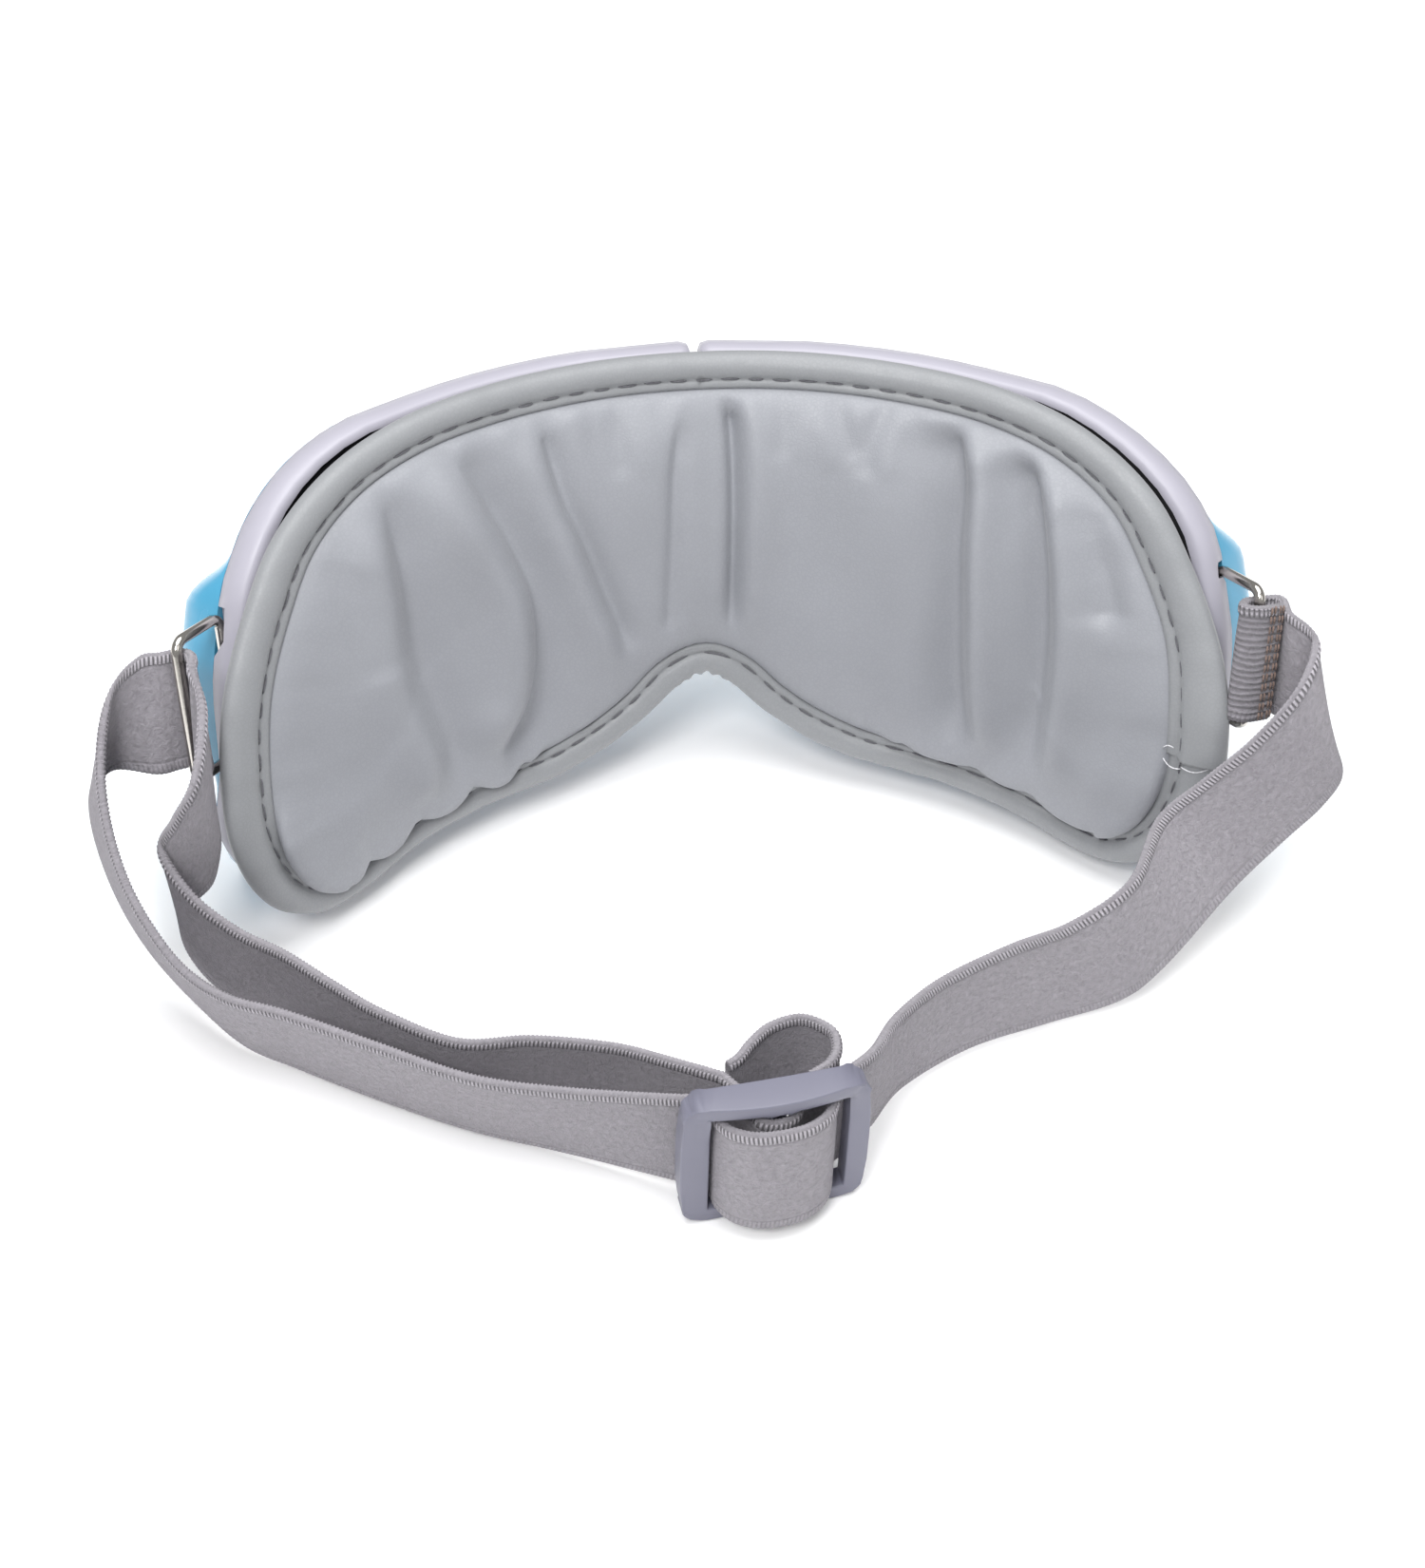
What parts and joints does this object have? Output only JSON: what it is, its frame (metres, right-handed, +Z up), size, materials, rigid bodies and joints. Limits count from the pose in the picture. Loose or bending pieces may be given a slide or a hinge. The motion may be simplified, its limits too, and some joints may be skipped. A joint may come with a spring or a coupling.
{
  "type": "eye massager mask",
  "caption": "Wrap-round eye massager mask: two hinged half shells with glossy front covers, a soft leather pad with bound edge, and an adjustable elastic head strap on wire rings.",
  "frame": {"origin": "centre of the part's box at the level of the table that it stands on", "axes": "+X to the right as the pad side is looked at, +Y from the pad side to the front covers, +Z up"},
  "size_m": [0.2516, 0.1697, 0.0936],
  "materials": {
    "white_shell": "satin moulded plastic",
    "blue_cover": "smooth gloss plastic",
    "black_plate": "matte plastic",
    "pad_leather": "soft synthetic leather over foam",
    "binding_tape": "folded edge tape",
    "air_bag": "thin film bladder",
    "heating_film": "polyimide film",
    "steel": "plain steel",
    "nickel": "nickel-plated wire",
    "battery_wrap": "foil pouch",
    "pump_body": "moulded plastic and steel can",
    "board": "circuit board",
    "motor_weight": "sintered weight",
    "button": "satin",
    "light": "diffuse",
    "hose": "silicone tube",
    "slider_plastic": "satin moulded plastic",
    "strap_elastic": "brushed elastic webbing"
  },
  "bodies": {
    "left_half": {"left_shell": "white_shell", "left_front_cover": "blue_cover", "left_back_plate": "black_plate", "left_pad": "pad_leather", "left_binding": "binding_tape", "left_air_bag": "air_bag", "left_heating_film": "heating_film", "left_screws": "steel", "left_ring_clip": "white_shell", "hinge_pin": "steel", "battery": "battery_wrap", "left_motor": "steel", "strap_left": "strap_elastic"},
    "right_half": {"right_shell": "white_shell", "right_front_cover": "blue_cover", "right_back_plate": "black_plate", "right_pad": "pad_leather", "right_binding": "binding_tape", "right_air_bag": "air_bag", "right_heating_film": "heating_film", "right_screws": "steel", "right_ring_clip": "white_shell", "air_pump": "pump_body", "air_valve": "pump_body", "main_board": "board", "right_motor": "steel", "indicator_light": "light", "charging_port": "steel", "left_air_hose": "hose", "right_air_hose": "hose", "strap_right": "strap_elastic"},
    "left_strap_ring": {"left_strap_ring": "nickel"},
    "right_strap_ring": {"right_strap_ring": "nickel"},
    "slider": {"slider": "slider_plastic", "strap_slider_turn": "strap_elastic", "strap_end_loop": "strap_elastic"},
    "power_button": {"power_button": "button"},
    "left_motor_weight": {"left_motor_weight": "motor_weight"},
    "right_motor_weight": {"right_motor_weight": "motor_weight"}
  },
  "joints": [
    {"name": "bridge_hinge", "type": "hinge", "parent": "left_half", "child": "right_half", "pos_m": [0.0025, 0.06625, 0.03395], "axis": [0, 0.342, 0.9397], "range_deg": [-5, 8], "stiffness_Nm_per_rad": 0.5, "deforming": ["strap_left", "strap_right", "strap_slider_turn", "strap_end_loop", "left_air_hose"]},
    {"name": "left_ring_swivel", "type": "hinge", "parent": "left_half", "child": "left_strap_ring", "pos_m": [-0.09601, 0.01745, 0.05491], "axis": [-0.0698, 0.3412, 0.9374], "range_deg": [-12, 12], "deforming": ["strap_left"]},
    {"name": "right_ring_swivel", "type": "hinge", "parent": "right_half", "child": "right_strap_ring", "pos_m": [0.1028, 0.01569, 0.05555], "axis": [0.0698, 0.3412, 0.9374], "range_deg": [-2, 20], "deforming": ["strap_right"]},
    {"name": "slider_slide", "type": "slide", "parent": "left_half", "child": "slider", "axis": [0.9919, 0.1271, 0], "range_m": [-0.012, 0.012], "deforming": ["strap_left", "strap_right", "strap_slider_turn", "strap_end_loop"]},
    {"name": "power_button_press", "type": "slide", "parent": "right_half", "child": "power_button", "axis": [-0.4476, -0.8403, 0.3058], "range_m": [0, 0.0007], "stiffness_N_per_m": 800},
    {"name": "left_motor_spin", "type": "hinge", "parent": "left_half", "child": "left_motor_weight", "pos_m": [-0.07799, 0.03685, 0.0553], "axis": [0, 0.342, 0.9397], "continuous": true},
    {"name": "right_motor_spin", "type": "hinge", "parent": "right_half", "child": "right_motor_weight", "pos_m": [0.08299, 0.03685, 0.0553], "axis": [0, 0.342, 0.9397], "continuous": true}
  ]
}
